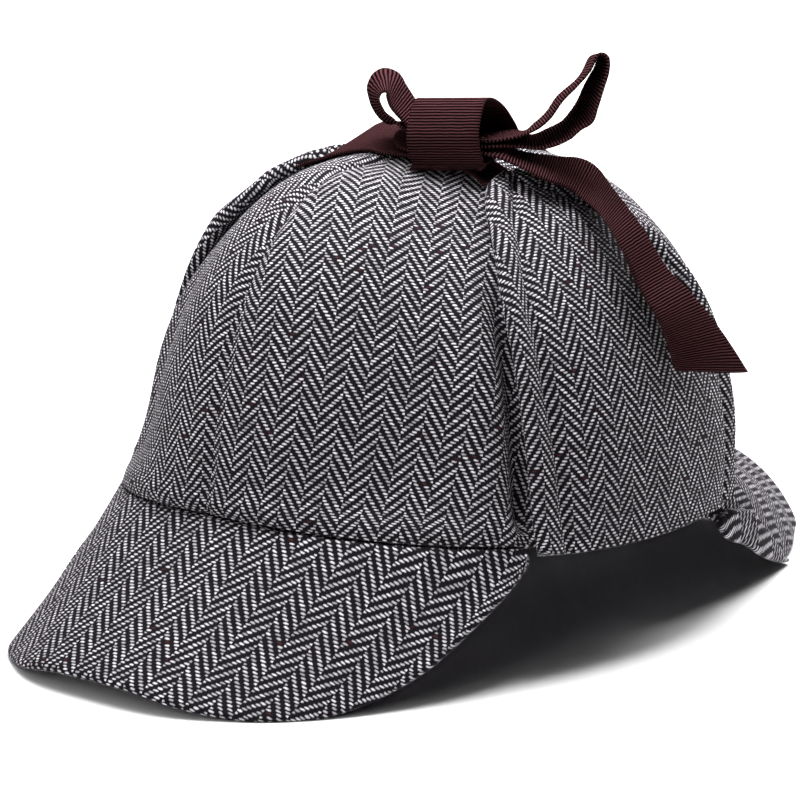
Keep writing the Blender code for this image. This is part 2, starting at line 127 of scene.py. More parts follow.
def new_herringbone(name):
    """Herringbone laid on the UV map, which is in millimetres of flat cloth, its ends along V."""
    material, tree, shader = new_material(name)
    flat = add_node(tree, "ShaderNodeUVMap", uv_map="cloth")[0]
    for size, wander in (
        (CLOTH_WANDER_SIZE, CLOTH_WANDER),
        (YARN_WANDER_SIZE, YARN_WANDER),
        (HAIR_SIZE, HAIR_WANDER),
    ):
        drift = add_node(
            tree, "ShaderNodeTexNoise", {"Vector": flat, "Scale": 1 / size, "Detail": 1.0}
        )[1]
        drift = add_node(
            tree, "ShaderNodeVectorMath", {0: drift, 1: (0.5, 0.5, 0.5)}, operation="SUBTRACT"
        )[0]
        flat = add_node(
            tree,
            "ShaderNodeVectorMath",
            {0: drift, 1: (wander, wander, 0), 2: flat},
            operation="MULTIPLY_ADD",
        )[0]
    threads = add_node(
        tree,
        "ShaderNodeVectorMath",
        {0: flat, 1: (END_PITCH, PICK_PITCH, 1)},
        operation="DIVIDE",
    )[0]
    end, pick, _ = add_node(tree, "ShaderNodeSeparateXYZ", {0: threads})
    end_number = add_node(tree, "ShaderNodeMath", {0: end}, operation="FLOOR")[0]
    pick_number = add_node(tree, "ShaderNodeMath", {0: pick}, operation="FLOOR")[0]
    in_end = add_node(tree, "ShaderNodeMath", {0: end}, operation="FRACT")[0]
    in_pick = add_node(tree, "ShaderNodeMath", {0: pick}, operation="FRACT")[0]
    # Bands lean by turns, slant 1 and -1. Each starts where its neighbour's floats would run on, so
    # that the twill is cut clean between them.
    band = add_node(tree, "ShaderNodeMath", {0: end, 1: ENDS_IN_A_BAND}, operation="DIVIDE")[0]
    band = add_node(tree, "ShaderNodeMath", {0: band}, operation="FLOOR")[0]
    band = add_node(tree, "ShaderNodeMath", {0: band, 1: 2}, operation="FLOORED_MODULO")[0]
    slant = add_node(tree, "ShaderNodeMath", {0: band, 1: -2, 2: 1}, operation="MULTIPLY_ADD")[0]
    step = add_node(
        tree, "ShaderNodeMath", {0: end_number, 1: slant, 2: pick_number}, operation="MULTIPLY_ADD"
    )[0]
    step = add_node(tree, "ShaderNodeMath", {0: step, 1: band}, operation="ADD")[0]
    step = add_node(tree, "ShaderNodeMath", {0: step, 1: TWILL_REPEAT}, operation="FLOORED_MODULO")[0]
    # A dash is the white thread over two ends, steps 2 and 3. It is a low dome, whose ends dip under
    # the black threads beside it. Its length and width run from -1 to 1.
    weft_step = add_node(tree, "ShaderNodeMath", {0: step, 1: 2.5}, operation="SUBTRACT")[0]
    weft_step = add_node(tree, "ShaderNodeMath", {0: weft_step, 1: slant}, operation="MULTIPLY")[0]
    length = add_node(tree, "ShaderNodeMath", {0: weft_step, 1: in_end}, operation="ADD")[0]
    length = add_node(tree, "ShaderNodeMath", {0: length, 1: 0.5}, operation="SUBTRACT")[0]
    length = add_node(
        tree, "ShaderNodeMath", {0: length, 1: 2 / DASH_LENGTH}, operation="MULTIPLY"
    )[0]
    width = add_node(tree, "ShaderNodeMath", {0: in_pick, 1: 0.5}, operation="SUBTRACT")[0]
    width = add_node(tree, "ShaderNodeMath", {0: width, 1: 2 / DASH_WIDTH}, operation="MULTIPLY")[0]
    dome = add_node(tree, "ShaderNodeMath", {0: width, 1: width}, operation="MULTIPLY")[0]
    dome = add_node(
        tree, "ShaderNodeMath", {0: length, 1: length, 2: dome}, operation="MULTIPLY_ADD"
    )[0]
    dome = add_node(tree, "ShaderNodeMath", {0: 1, 1: dome}, operation="SUBTRACT", use_clamp=True)[0]
    on_top = add_node(tree, "ShaderNodeMath", {0: step, 1: 1.5}, operation="GREATER_THAN")[0]
    dome = add_node(tree, "ShaderNodeMath", {0: dome, 1: on_top}, operation="MULTIPLY")[0]
    # No two dashes are equally clean: fluff and dye dull some of them, and a few are flecks of red wool.
    dash_middle = add_node(tree, "ShaderNodeMath", {0: end_number, 1: weft_step}, operation="SUBTRACT")[0]
    dash_place = add_node(tree, "ShaderNodeCombineXYZ", {0: dash_middle, 1: pick_number})[0]
    chance = add_node(
        tree, "ShaderNodeTexWhiteNoise", {"Vector": dash_place}, noise_dimensions="2D"
    )[0]
    dull = add_node(
        tree, "ShaderNodeMath", {0: chance, 1: -DASH_DULLNESS, 2: 1}, operation="MULTIPLY_ADD"
    )[0]
    # Each dash's white fades from its middle to its ends and sides. This is partly its soft outline and
    # partly painted shade where the yarn dips between the black threads.
    white = add_node(
        tree, "ShaderNodeMath", {0: dome, 1: 1 / DASH_SOFTNESS_AND_SHADE}, operation="MULTIPLY", use_clamp=True
    )[0]
    white = add_node(tree, "ShaderNodeMath", {0: white, 1: dull}, operation="MULTIPLY")[0]
    fleck = add_node(tree, "ShaderNodeMath", {0: chance, 1: NEP_RARITY}, operation="GREATER_THAN")[0]
    weft = add_node(
        tree,
        "ShaderNodeMix",
        {"Factor": fleck, "A": colour(WHITE_WEFT), "B": colour(RED_NEP)},
        data_type="RGBA",
    )[2]
    yarn = add_node(
        tree,
        "ShaderNodeMix",
        {"Factor": white, "A": colour(BLACK_WARP), "B": weft},
        data_type="RGBA",
    )[2]
    bump = add_node(tree, "ShaderNodeBump", {"Height": dome, "Distance": YARN_RELIEF * MM})[0]
    tree.links.new(yarn, shader.inputs["Base Color"])
    tree.links.new(bump, shader.inputs["Normal"])
    shader.inputs["Roughness"].default_value = 0.85
    shader.inputs["Specular IOR Level"].default_value = 0.1
    shader.inputs["Sheen Weight"].default_value = 0.04
    shader.inputs["Sheen Roughness"].default_value = 0.4
    shader.inputs["Sheen Tint"].default_value = colour(CLOTH_SHEEN)
    return material


herringbone = new_herringbone("wool_herringbone")


# ---------------------------------------------------------------------------------------------------
# Crown. Four gores of cloth, sewn edge to edge up to the top. The seams pull the cloth in and pucker it
# a little, and it bulges softly where it is turned under at the peaks.
# ---------------------------------------------------------------------------------------------------
HAT_SHIFT = Vector((-1, -7.5, 0))
RIM_HALF_WIDTH = 88.9
RIM_FRONT_REACH = 97.7
RIM_REAR_REACH = 100.3
RIM_POWER = 2.27
RIM_HEIGHT = 40.9
RIM_FRONT_LIFT = 7.4
RIM_REAR_LIFT = 7.6
RIM_FRONT_PINCH = 0.018
CROWN_TOP = 149.8
CROWN_TOP_SHIFT = -2.6
CROWN_LAST_CLIMB = 0.998
Curve = namedtuple("Curve", "out_power up_power")
FRONT_CURVE = Curve(3.37, 1.58)
SIDE_CURVE = Curve(2.04, 2.29)
REAR_CURVE = Curve(2.86, 2.93)
DIAGONAL_CURVE = Curve(-0.44, 0.155)
FLARE = 0.115
FLARE_POWER = 10
SLOPE_STEP = 0.002
Dent = namedtuple("Dent", "x y depth radius")
KNOT_DENT = Dent(12, -18, 2.4, 11)
CROWN_WALL = 1.8
SEAM_GAP = 0.12
SEAM_SINK = 1.3
SEAM_SINK_WIDTH = 1.6
SEAM_PUCKER = 0.35
SEAM_PUCKER_SIZE = 5
SEAM_PUCKER_REACH = 6
CLOTH_SWELL = 0.6
CLOTH_SWELL_SIZE = 26
# The cloth bulges over the seam with a peak, and turns in at the seam itself.
RIM_PUFF = 1.5
RIM_PUFF_CENTRE = 3.4
RIM_PUFF_WIDTH = 3.0
RIM_TURN_IN = 0.6
# Each front gore rises in a shoulder towards the ear flap, then dives into a narrow slot beside the
# flap's front edge. Both run out at the rim and at SLOT_TOP.
SLOT_TURN = 67.3
SLOT_DEPTH = 9.5
SLOT_WIDTH = 3.6
SHOULDER_HEIGHT = 3.2
SHOULDER_PLACE = 11.0
SHOULDER_WIDTH = 7.5
SLOT_TOP = 0.4
SLOT_TOP_STEEPNESS = 22
SLOT_RUN_OUT = 5.0


def between(start, end, share):
    return start + (end - start) * share


def signed_power(value, power):
    return math.copysign(abs(value) ** power, value)


def rim_point(turn):
    """A point of the rim. A turn is the angle round the head from the front towards the wearer's left."""
    front = math.cos(turn)
    if front > 0:
        reach, lift, pinch = RIM_FRONT_REACH, RIM_FRONT_LIFT, RIM_FRONT_PINCH
    else:
        reach, lift, pinch = RIM_REAR_REACH, RIM_REAR_LIFT, 0
    size = 1 - pinch * math.sin(2 * turn) ** 4
    return Vector(
        (
            size * RIM_HALF_WIDTH * signed_power(math.sin(turn), 2 / RIM_POWER),
            -size * reach * signed_power(front, 2 / RIM_POWER),
            RIM_HEIGHT + lift * front**2,
        )
    )


def crown_point(turn, climb):
    """A point of the crown. A climb runs from 0 at the rim to 1 at the top, and below 0 under the rim."""
    rim = rim_point(turn)
    if climb < 0:
        return 2 * rim - crown_point(turn, -climb)
    mix = math.cos(turn) ** 2
    diagonal = math.sin(2 * turn) ** 2
    in_front = math.cos(turn) > 0
    quarter = FRONT_CURVE if in_front else REAR_CURVE
    out_power, up_power = (
        between(side, end, mix) + extra * diagonal
        for side, end, extra in zip(SIDE_CURVE, quarter, DIAGONAL_CURVE)
    )
    angle = math.radians(90) * climb
    rise = math.sin(angle) ** (2 / up_power)
    out = math.cos(angle) ** (2 / out_power)
    if in_front:
        out *= 1 + FLARE * diagonal * ((1 - rise) ** FLARE_POWER - 1)
    point = Vector(
        (
            rim.x * out,
            rim.y * out + CROWN_TOP_SHIFT * (1 - out),
            between(rim.z, CROWN_TOP, rise),
        )
    )
    from_dent = math.hypot(point.x - KNOT_DENT.x, point.y - KNOT_DENT.y) / KNOT_DENT.radius
    point.z -= KNOT_DENT.depth * math.exp(-(from_dent**2) / 2)
    return point


def crown_normal(turn, climb):
    climb = max(climb, 0)
    along = crown_point(turn + SLOPE_STEP, climb) - crown_point(turn - SLOPE_STEP, climb)
    up = crown_point(turn, min(climb + SLOPE_STEP, 1)) - crown_point(turn, max(climb - SLOPE_STEP, 0))
    return along.cross(up).normalized()


def crowd_to_ends(share):
    """Moves shares of 0 to 1 closer together near both ends, where an edge is rounded."""
    return 0.5 - 0.5 * math.cos(math.pi * share)


def swell(point, size):
    """The soft unevenness of cloth, from -1 to 1, over lumps of about this size."""
    return noise.noise(point / size)


def flap_slot(turn, climb, radius, height):
    """How far a front gore stands out, or in when below 0, because of the ear flap's front edge."""
    from_front = abs(math.remainder(turn, 2 * math.pi))
    distance = (math.radians(SLOT_TURN) - from_front) * radius
    slot = SLOT_DEPTH * math.exp(-((distance / SLOT_WIDTH) ** 2))
    shoulder = SHOULDER_HEIGHT * math.exp(-(((distance - SHOULDER_PLACE) / SHOULDER_WIDTH) ** 2))
    low_share = 1 - math.exp(-((height / SLOT_RUN_OUT) ** 2))
    run_out = low_share / (1 + math.exp((climb - SLOT_TOP) * SLOT_TOP_STEEPNESS))
    return (shoulder - slot) * run_out


def gore_point(first_turn, across, up):
    """A quarter of the crown, drawn in at its two seams and puffed out above its lower edge."""
    climb = CROWN_LAST_CLIMB * up
    across = crowd_to_ends(across)
    turn = math.radians(first_turn + 90 * across)
    point = crown_point(turn, climb)
    radius = max(point.to_2d().length, 1.0)
    turn += math.asin(min(SEAM_GAP / radius, 1)) * (1 - 2 * across)
    point = crown_point(turn, climb)
    from_seam = math.radians(90) * min(across, 1 - across) * radius
    sink = SEAM_SINK * math.exp(-((from_seam / SEAM_SINK_WIDTH) ** 2))
    pucker = SEAM_PUCKER * swell(point, SEAM_PUCKER_SIZE) * math.exp(-from_seam / SEAM_PUCKER_REACH)
    uneven = CLOTH_SWELL * swell(point, CLOTH_SWELL_SIZE)
    height = point.z - rim_point(turn).z
    puff = RIM_PUFF * math.exp(-(((height - RIM_PUFF_CENTRE) / RIM_PUFF_WIDTH) ** 2))
    turn_in = RIM_TURN_IN * math.exp(-height)
    beside_flap = flap_slot(turn, climb, radius, height)
    out = uneven + pucker + puff + beside_flap - sink - turn_in
    return point + crown_normal(turn, climb) * out


def new_grid(columns, rows, point_at):
    """A grid of faces bent to point_at(across, up), whose shares run from 0 to 1."""
    grid = bmesh.new()
    bmesh.ops.create_grid(grid, x_segments=columns, y_segments=rows, size=0.5)
    for vert in grid.verts:
        vert.co = point_at(vert.co.x + 0.5, vert.co.y + 0.5)
    return grid


def flatten(points, place, warp):
    """Unrolls a sheet's points to flat cloth in millimetres, its warp running down V at a place on it."""
    rows, columns = points.shape[0] - 1, points.shape[1] - 1
    sheet = new_grid(columns, rows, lambda across, up: points[round(up * rows), round(across * columns)])
    mesh = bpy.data.meshes.new("pattern")
    sheet.to_mesh(mesh)
    area = sum(face.calc_area() for face in sheet.faces)
    sheet.free()
    pattern = bpy.data.objects.new("pattern", mesh)
    bpy.context.scene.collection.objects.link(pattern)
    mesh.uv_layers.new(name="cloth")
    bpy.context.view_layer.objects.active = pattern
    pattern.select_set(True)
    bpy.ops.object.mode_set(mode="EDIT")
    bpy.ops.mesh.select_all(action="SELECT")
    bpy.ops.uv.unwrap(method="MINIMUM_STRETCH")
    bpy.ops.object.mode_set(mode="OBJECT")
    corners = np.empty(len(mesh.loops), int)
    mesh.loops.foreach_get("vertex_index", corners)
    uvs = np.empty(2 * len(mesh.loops))
    mesh.uv_layers["cloth"].uv.foreach_get("vector", uvs)
    flat = np.empty((len(mesh.vertices), 2))
    flat[corners] = uvs.reshape(-1, 2)
    flat = flat.reshape(rows + 1, columns + 1, 2)
    bpy.data.objects.remove(pattern)
    bpy.data.meshes.remove(mesh)
    return turn_to_warp(flat, points, area, place, warp)


def turn_to_warp(flat, points, area, place, warp):
    """Scales an unrolled sheet to its real area, and turns it until the warp runs down V at the place."""
    across_steps = np.diff(flat, axis=1)[:-1]
    up_steps = np.diff(flat, axis=0)[:, :-1]
    flat_area = np.cross(across_steps, up_steps).sum()
    if flat_area < 0:
        flat = flat * (-1, 1)
    flat = flat * math.sqrt(area / abs(flat_area))
    row, column = np.unravel_index(
        np.linalg.norm(points - np.array(place), axis=2)[:-1, :-1].argmin(),
        (points.shape[0] - 1, points.shape[1] - 1),
    )
    corner = points[row, column]
    sides = np.stack((points[row, column + 1] - corner, points[row + 1, column] - corner))
    flat_corner = flat[row, column]
    flat_sides = np.stack((flat[row, column + 1] - flat_corner, flat[row + 1, column] - flat_corner))
    share, *_ = np.linalg.lstsq(sides.T, np.array(warp), rcond=None)
    x, y = share @ flat_sides
    angle = -math.pi / 2 - math.atan2(y, x)
    turned = np.array(((math.cos(angle), math.sin(angle)), (-math.sin(angle), math.cos(angle))))
    return (flat - flat[row, column]) @ turned


def grid_points(grid, columns):
    return np.array([vert.co for vert in grid.verts]).reshape(-1, columns + 1, 3)


def lay_cloth(grid, flat, stretch=(1, 1), start=(0, 0)):
    """Puts flat cloth, pulled out by a stretch across and along its warp, on a grid's corners."""
    layer = grid.loops.layers.uv.new("cloth")
    columns = flat.shape[1]
    for face in grid.faces:
        for loop in face.loops:
            loop[layer].uv = flat[divmod(loop.vert.index, columns)] / stretch + start


def new_piece(name, grid, material, node):
    """Makes a grid, which is in millimetres, the piece that stands for a node of the frame."""
    for vert in grid.verts:
        vert.co = (vert.co + HAT_SHIFT) * MM
    mesh = bpy.data.meshes.new(name)
    grid.to_mesh(mesh)
    grid.free()
    mesh.materials.append(material)
    mesh.shade_smooth()
    piece = bpy.data.objects.new(name, mesh)
    bpy.context.scene.collection.objects.link(piece)
    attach(piece, "root")
    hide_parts(node)
    return piece


def add_wall(piece, wall, offset=-1):
    solidify = piece.modifiers.new("wall", "SOLIDIFY")
    solidify.thickness = wall * MM
    solidify.offset = offset


GORE_COLUMNS = 110
GORE_ROWS = 90
# Each gore's node, the turn of its first seam, a place on it and the way the warp runs down there.
Gore = namedtuple("Gore", "node first_turn place warp")
GORES = (
    Gore("crown_front_left", 0, (35, -71, 100), (0.13, -0.38, -0.92)),
    Gore("crown_rear_left", 90, (40, 80, 100), (0.08, 0.35, -0.94)),
    Gore("crown_rear_right", 180, (-40, 80, 100), (-0.08, 0.35, -0.94)),
    Gore("crown_front_right", 270, (-35, -71, 100), (-0.13, -0.38, -0.92)),
)
for gore_node, gore_turn, place, warp in GORES:
    gore = new_grid(
        GORE_COLUMNS, GORE_ROWS, lambda across, up, first=gore_turn: gore_point(first, across, up)
    )
    flat = flatten(grid_points(gore, GORE_COLUMNS), place, warp)
    lay_cloth(gore, flat)
    area = sum(face.calc_area() for face in gore.faces)
    piece = new_piece(gore_node + "_cloth", gore, herringbone, gore_node)
    add_wall(piece, CROWN_WALL)


# ---------------------------------------------------------------------------------------------------
# Peaks. Two stiff arched brims, front and rear, each of two layers of the cloth with a stiffener between.
# They are turned at the free edge and sewn to the crown along the rim, under its puffed lower edge.
# ---------------------------------------------------------------------------------------------------
# Half of each peak's free edge, from its middle to its end, with the turn of the seam opposite.
PeakRow = namedtuple("PeakRow", "seam_turn x y z")
FRONT_PEAK = (
    PeakRow(0, 0, -148, 7.5),
    PeakRow(8.8, 17, -147.5, 7),
    PeakRow(18.3, 32, -144.5, 4.5),
    PeakRow(28.3, 46, -137, 2),
    PeakRow(37.1, 57, -128.5, 1.3),
    PeakRow(45.5, 66, -116.5, 1.3),
    PeakRow(52.5, 72.5, -103.5, 4.2),
    PeakRow(58.8, 77.5, -90, 9.5),
    PeakRow(64, 81.5, -75, 18.5),
    PeakRow(66, 84, -58, 29),
    PeakRow(67, 84.5, -46, 37.5),
)
REAR_PEAK = (
    PeakRow(180, 0, 163, 8),
    PeakRow(171.8, 16, 162, 7.5),
    PeakRow(163.7, 31, 159, 5.5),
    PeakRow(156.9, 39, 148.5, 1.8),
    PeakRow(151, 47, 136, 0.4),
    PeakRow(146.2, 53, 122.5, 0.4),
    PeakRow(141.5, 58.5, 108, 4.5),
    PeakRow(137, 63.5, 94, 10),
    PeakRow(133, 67.5, 81, 16.5),
    PeakRow(130, 72.2, 65, 22.5),
    PeakRow(128.5, 74, 56.5, 31.5),
)
FRONT_PEAK_BULGE = -1.5
REAR_PEAK_BULGE = 7.0
PEAK_BULGE_POWER = 4
PEAK_SLOPE_STEP = 0.004
PEAK_SEAM_GAP = 0.9
# The seam allowance: in under the crown's edge, and up behind its cloth.
PEAK_TUCK = 3.4
PEAK_TUCK_RISE = 2.5
PEAK_WALL = 3.0
PEAK_COLUMNS = 120
PEAK_TUCK_ROWS = 2
PEAK_FACE_ROWS = 40
PEAK_LIP_ROWS = 8
PEAK_UNDER_ROWS = 24
# The warp runs out over a peak along one line, wherever the peak is bent.
PEAK_WARP_OUT = 0.75
PEAK_WARP_DOWN = 0.66
PEAK_CLOTH_STRETCH = (1.15, 1.2)
# Points of a skin that are closer than this, in millimetres, are one point.
WELD_DISTANCE = 0.001


def smooth_row(rows, share):
    """Reads a table at a share of its length, on a smooth curve through its rows."""
    place = share * (len(rows) - 1)
    first = min(int(place), len(rows) - 2)
    t = place - first
    before, start, end, after = (
        rows[min(max(first + step, 0), len(rows) - 1)] for step in (-1, 0, 1, 2)
    )
    values = (
        b + t / 2 * (c - a + t * (2 * a - 5 * b + 4 * c - d + t * (3 * (b - c) + d - a)))
        for a, b, c, d in zip(before, start, end, after)
    )
    return type(start)(*values)


def peak_face(rows, bulge, across, out):
    """A peak's upper face, from one end to the other across, and out from the seam to the free edge."""
    side = 2 * across - 1
    row = smooth_row(rows, abs(side))
    turn = math.radians(row.seam_turn)
    seam = rim_point(turn)
    seam.z -= PEAK_SEAM_GAP
    point = seam.lerp(Vector((row.x, row.y, row.z)), out)
    outward = Vector((math.sin(turn), -math.cos(turn), 1)).normalized()
    point += outward * bulge * 4 * out * (1 - out) * (1 - abs(side) ** PEAK_BULGE_POWER)
    point.x *= math.copysign(1, side)
    return point


def peak_slopes(rows, bulge, across, out):
    """The way out over a peak's upper face, and the way up from it."""
    step = PEAK_SLOPE_STEP
    across = min(max(across, step), 1 - step)
    outward = peak_face(rows, bulge, across, out + step) - peak_face(rows, bulge, across, out - step)
    along = peak_face(rows, bulge, across + step, out) - peak_face(rows, bulge, across - step, out)
    up = along.cross(outward)
    return outward, up.normalized() * math.copysign(1, up.z)


def peak_point(rows, bulge, across, row_number):
    """A peak's skin: out over its upper face, round its free edge and back under it to the seam."""
    over = row_number - PEAK_TUCK_ROWS
    lip = over - PEAK_FACE_ROWS
    under = lip - PEAK_LIP_ROWS
    if under == PEAK_UNDER_ROWS:
        over = -PEAK_TUCK_ROWS
    edge = peak_face(rows, bulge, across, 1)
    seam = peak_face(rows, bulge, across, 0)
    reach = 1 - PEAK_WALL / 2 / (edge - seam).length
    if over < 0:
        point = peak_face(rows, bulge, across, 0)
        turn = math.radians(smooth_row(rows, abs(2 * across - 1)).seam_turn)
        tucked = -2 * over / PEAK_TUCK_ROWS
        point -= crown_outward(turn, across) * PEAK_TUCK * min(tucked, 1)
        point.z += PEAK_TUCK_RISE * max(tucked - 1, 0)
        return point
    if lip <= 0:
        out = reach * math.sin(math.pi / 2 * over / PEAK_FACE_ROWS)
        return peak_face(rows, bulge, across, out)
    if under <= 0:
        outward, up = peak_slopes(rows, bulge, across, reach)
        angle = math.pi * lip / PEAK_LIP_ROWS
        centre = peak_face(rows, bulge, across, reach) - up * PEAK_WALL / 2
        point = centre + (up * math.cos(angle) + outward.normalized() * math.sin(angle)) * PEAK_WALL / 2
    else:
        out = reach * (1 - under / PEAK_UNDER_ROWS)
        up = peak_slopes(rows, bulge, across, out)[1]
        point = peak_face(rows, bulge, across, out) - up * PEAK_WALL
    point.z = max(point.z, 0)
    return point


def crown_outward(turn, across):
    """The way out of the crown at the rim, mirrored to the wearer's right for the first half."""
    way = crown_normal(turn, 0)
    way.x *= math.copysign(1, 2 * across - 1)
    return way


def flatten_peak(points, front):
    """Lays a peak's cloth straight out over its face. The front peak's is carried on round its edge."""
    columns = points.shape[1] - 1
    last = PEAK_TUCK_ROWS + PEAK_FACE_ROWS
    warp = Vector((0, -front * PEAK_WARP_OUT, -PEAK_WARP_DOWN)).normalized()
    weft = np.array(warp.cross(Vector((1, 0, 0))))
    steps = np.diff(points, axis=1)
    steps = np.hypot(steps[..., 0], steps @ weft)
    across = np.pad(np.cumsum(steps, axis=1), ((0, 0), (1, 0)))
    across -= across[:, columns // 2 : columns // 2 + 1]
    flat = np.stack((across, -points @ np.array(warp)), axis=2)
    if front > 0:
        onward = flat[last] - flat[last - 1]
        onward /= np.linalg.norm(onward, axis=1, keepdims=True)
        lengths = np.linalg.norm(np.diff(points[last:], axis=0), axis=2)
        flat[last + 1 :] = flat[last] + onward * np.cumsum(lengths, axis=0)[..., None]
    return flat


def close_tube(grid):
    """Joins a tube's first and last rows, and closes its two open ends."""
    bmesh.ops.remove_doubles(grid, verts=grid.verts, dist=WELD_DISTANCE)
    bmesh.ops.holes_fill(grid, edges=grid.edges, sides=0)
    bmesh.ops.recalc_face_normals(grid, faces=grid.faces)


for peak_node, peak_rows, peak_bulge, peak_front in (
    ("front_peak", FRONT_PEAK, FRONT_PEAK_BULGE, 1),
    ("rear_peak", REAR_PEAK, REAR_PEAK_BULGE, -1),
):
    peak_grid_rows = PEAK_TUCK_ROWS + PEAK_FACE_ROWS + PEAK_LIP_ROWS + PEAK_UNDER_ROWS
    peak = new_grid(
        PEAK_COLUMNS,
        peak_grid_rows,
        lambda across, around, rows=peak_rows, bulge=peak_bulge: peak_point(
            rows, bulge, across, around * peak_grid_rows
        ),
    )
    lay_cloth(
        peak, flatten_peak(grid_points(peak, PEAK_COLUMNS), peak_front), stretch=PEAK_CLOTH_STRETCH
    )
    close_tube(peak)
    piece = new_piece(peak_node + "_cloth", peak, herringbone, peak_node)


# ---------------------------------------------------------------------------------------------------
# Ear flaps. Two layers of the cloth with rolled edges, folded up from the rim against the crown's sides.
# Their points reach the ribbon, which holds them there.
# ---------------------------------------------------------------------------------------------------
# An ear flap's outer face stands off the crown by rest in its middle and by edge at its edges.
FlapRow = namedtuple("FlapRow", "climb front_turn rear_turn rest edge")
EAR_FLAP = (
    FlapRow(-0.013, 67.8, 125, 2.9, 4.6),
    FlapRow(-0.003, 67.6, 126.5, 2.9, 5.4),
    FlapRow(0.06, 67.8, 127, 2.9, 6.4),
    FlapRow(0.14, 67.6, 127, 2.9, 7.0),
    FlapRow(0.226, 67.2, 127.5, 3, 7.2),
    FlapRow(0.336, 66.9, 127, 3.2, 7.2),
    FlapRow(0.413, 66.7, 126, 3.2, 7.0),
    FlapRow(0.497, 67.8, 123.5, 3.3, 6.8),
    FlapRow(0.591, 69.9, 117, 4, 5.8),
    FlapRow(0.644, 72, 111.5, 4.6, 5.6),
    FlapRow(0.69, 75.2, 106, 4.8, 5.2),
    FlapRow(0.728, 80.6, 101.5, 4.8, 4.8),
    FlapRow(0.75, 88, 98.5, 4.6, 4.6),
)
FLAP_INNER_REST = 0.6
FLAP_EDGE_LIFT = 1.8
FLAP_LENGTH = 105
FLAP_COLUMNS = 160
FLAP_ROWS = 120
FLAP_FACE_SHARE = 0.66
FLAP_LIP_SHARE = 0.12
FLAP_END_ROUNDING = 1.6
# The roll along each side edge, and the crease beside it where the layers are stitched.
FLAP_ROLL_TOP = 6.0
FLAP_ROLL_BOTTOM = 9.5
FLAP_ROLL_CHANGE = 0.35
FLAP_CREASE = 1.5
FLAP_CREASE_WIDTH = 1.4
# The edges wave up and down, and the outer face is softly uneven. The lumps differ from side to side.
FLAP_EDGE_WAVE = 0.8
FLAP_WAVES = Vector((20, 4, 9))
FLAP_SWELL = 0.5
FLAP_SWELL_SIZE = 24
FLAP_SWELL_SHIFT = 50
# How late the inner face turns up to meet the roll.
FLAP_INNER_POWER = 8
# The right flap lies flat low down and rolls up from here, as shares of its length.
RIGHT_ROLL_START = 0.36
RIGHT_ROLL_RUN = 0.22
# The left flap's rear edge rolls up this much less than its front edge.
REAR_ROLL = 0.4


def flap_height(row, from_edge, roll):
    """How far a flap's outer face stands off the crown, at a distance from its side edge."""
    share = min(from_edge / roll, 1)
    crest = (row.edge - row.rest) * (0.5 + 0.5 * math.cos(math.pi * share))
    crease = FLAP_CREASE * math.exp(-(((from_edge - roll) / FLAP_CREASE_WIDTH) ** 2))
    return row.rest + crest - crease


def flap_point(side, around, up):
    """An ear flap's skin. Halfway around is the middle of its outer face, and 0 and 1 that of its inner."""
    up = crowd_to_ends(up)
    row = smooth_row(EAR_FLAP, up)
    half = (row.rear_turn - row.front_turn) / 2
    middle = (row.rear_turn + row.front_turn) / 2
    degree = math.radians(crown_point(math.radians(middle), row.climb).to_2d().length)
    wave_place = Vector((side * FLAP_WAVES.x, around * FLAP_WAVES.y, up * FLAP_WAVES.z))
    edge = row.edge + FLAP_EDGE_WAVE * swell(wave_place, 1)
    if side < 0:
        edge = between(row.rest, edge, min(max((up - RIGHT_ROLL_START) / RIGHT_ROLL_RUN, 0), 1))
    elif around > 0.5:
        edge = between(row.rest, edge, REAR_ROLL)
    roll = between(FLAP_ROLL_BOTTOM, FLAP_ROLL_TOP, min(up / FLAP_ROLL_CHANGE, 1))
    row = row._replace(edge=edge)
    lifted = FLAP_INNER_REST + FLAP_EDGE_LIFT * (edge - row.rest) / edge
    centre = (edge + lifted) / 2
    lip = (edge - lifted) / 2
    half_width = half * degree - lip
    place = abs(2 * around - 1)
    if place < FLAP_FACE_SHARE:
        offset = half_width * math.sin(math.pi / 2 * place / FLAP_FACE_SHARE)
        stand_off = flap_height(row, half_width - offset, roll)
    elif place < FLAP_FACE_SHARE + FLAP_LIP_SHARE:
        angle = math.pi * (place - FLAP_FACE_SHARE) / FLAP_LIP_SHARE
        offset = half_width + lip * math.sin(angle)
        stand_off = centre + lip * math.cos(angle)
    else:
        share = (1 - place) / (1 - FLAP_FACE_SHARE - FLAP_LIP_SHARE)
        offset = half_width * share
        stand_off = between(FLAP_INNER_REST, lifted, share**FLAP_INNER_POWER)
    from_end = FLAP_LENGTH * min(up, 1 - up)
    thickness = math.sqrt(1 - (1 - min(from_end / FLAP_END_ROUNDING, 1)) ** 2)
    stand_off = between(row.rest / 2, stand_off, thickness)
    turn = math.radians(middle + math.copysign(offset / degree, around - 0.5))
    point = crown_point(turn, row.climb)
    if place < FLAP_FACE_SHARE:
        stand_off += FLAP_SWELL * swell(point + Vector((side * FLAP_SWELL_SHIFT, 0, 0)), FLAP_SWELL_SIZE)
    point += crown_normal(turn, row.climb) * stand_off
    return Vector((point.x * side, point.y, point.z))


